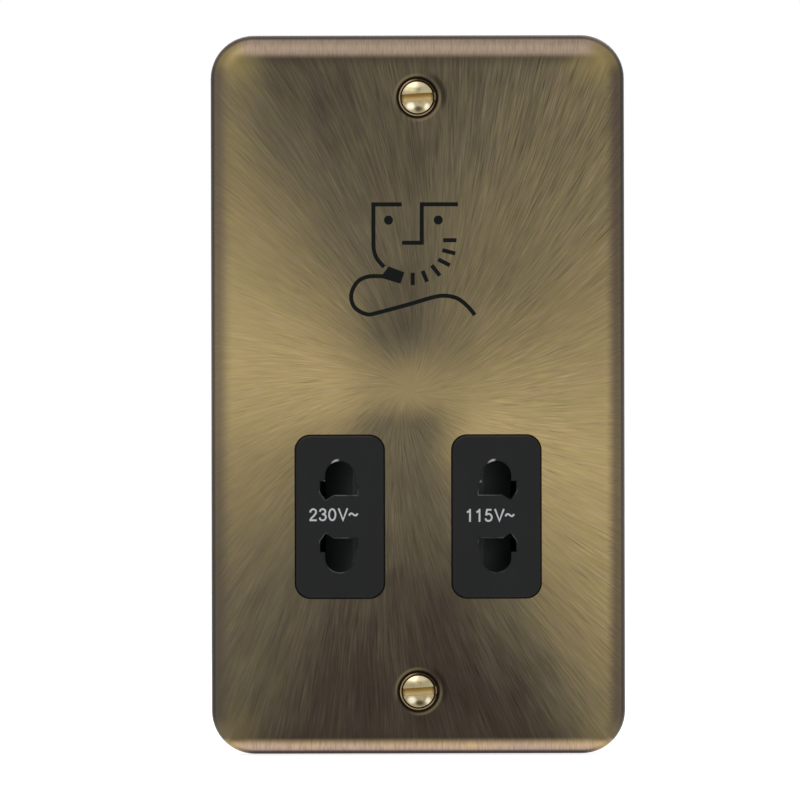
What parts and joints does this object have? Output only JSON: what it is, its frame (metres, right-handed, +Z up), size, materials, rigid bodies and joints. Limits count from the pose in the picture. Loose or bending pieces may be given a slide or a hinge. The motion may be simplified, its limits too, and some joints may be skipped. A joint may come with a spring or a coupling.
{
  "type": "shaver socket",
  "caption": "Wall-mounted dual-voltage shaver supply unit with a rounded metal plate, shuttered outlets and an isolating transformer in a rear housing.",
  "frame": {"origin": "middle of the front plate, midway between its two fixing screws, in the plane of its rear rim where it meets the wall", "axes": "+X to the right as seen from the room, +Y into the wall, +Z up"},
  "size_m": [0.084, 0.0462, 0.146],
  "materials": {
    "antique_brass": "brushed in rays from the middle, aged and lacquered",
    "polished_brass": "polished",
    "black_moulding": "fine satin moulding",
    "ivory_moulding": "satin moulding",
    "grey_moulding": "satin moulding",
    "contact_brass": "rolled strip",
    "zinc_steel": "zinc plated",
    "spring_steel": "drawn wire",
    "laminated_steel": "stacked laminations, varnished",
    "enamelled_copper": "enamelled wire in layers",
    "brown_sleeve": "smooth insulation",
    "blue_sleeve": "smooth insulation",
    "grey_sleeve": "smooth insulation",
    "white_sleeve": "smooth insulation"
  },
  "bodies": {
    "unit": {"front_plate": "antique_brass", "fixing_screws": "polished_brass", "socket_moulding": "black_moulding", "plate_studs": "zinc_steel", "plate_nuts": "zinc_steel", "earth_nut": "zinc_steel", "spring_left": "spring_steel", "spring_right": "spring_steel", "contact_carrier": "grey_moulding", "contact_cover": "grey_moulding", "contact_230": "contact_brass", "contact_115": "contact_brass", "contact_common": "contact_brass", "switch_line": "contact_brass", "switch_load": "contact_brass", "carrier_screws": "zinc_steel", "transformer_core": "laminated_steel", "bobbin": "ivory_moulding", "primary_winding": "enamelled_copper", "secondary_winding": "enamelled_copper", "transformer_frame": "zinc_steel", "frame_screws": "zinc_steel", "thermal_cutout": "grey_moulding", "terminal_block": "grey_moulding", "terminal_live": "contact_brass", "terminal_neutral": "contact_brass", "terminal_earth": "contact_brass", "terminal_screws": "zinc_steel", "block_screws": "zinc_steel", "earth_strap": "contact_brass", "rear_housing": "black_moulding", "housing_screws": "zinc_steel", "lead_live": "brown_sleeve", "lead_neutral": "blue_sleeve", "lead_switched": "brown_sleeve", "lead_cutout": "brown_sleeve", "lead_230": "grey_sleeve", "lead_115": "grey_sleeve", "lead_common": "white_sleeve"},
    "shutter": {"shutter": "black_moulding", "bridge_contact": "contact_brass"}
  },
  "joints": [
    {"name": "shutter_slide", "type": "slide", "parent": "unit", "child": "shutter", "axis": [1, 0, 0], "range_m": [-0.0058, 0.0058], "stiffness_N_per_m": 170, "deforming": ["spring_left", "spring_right"]}
  ]
}
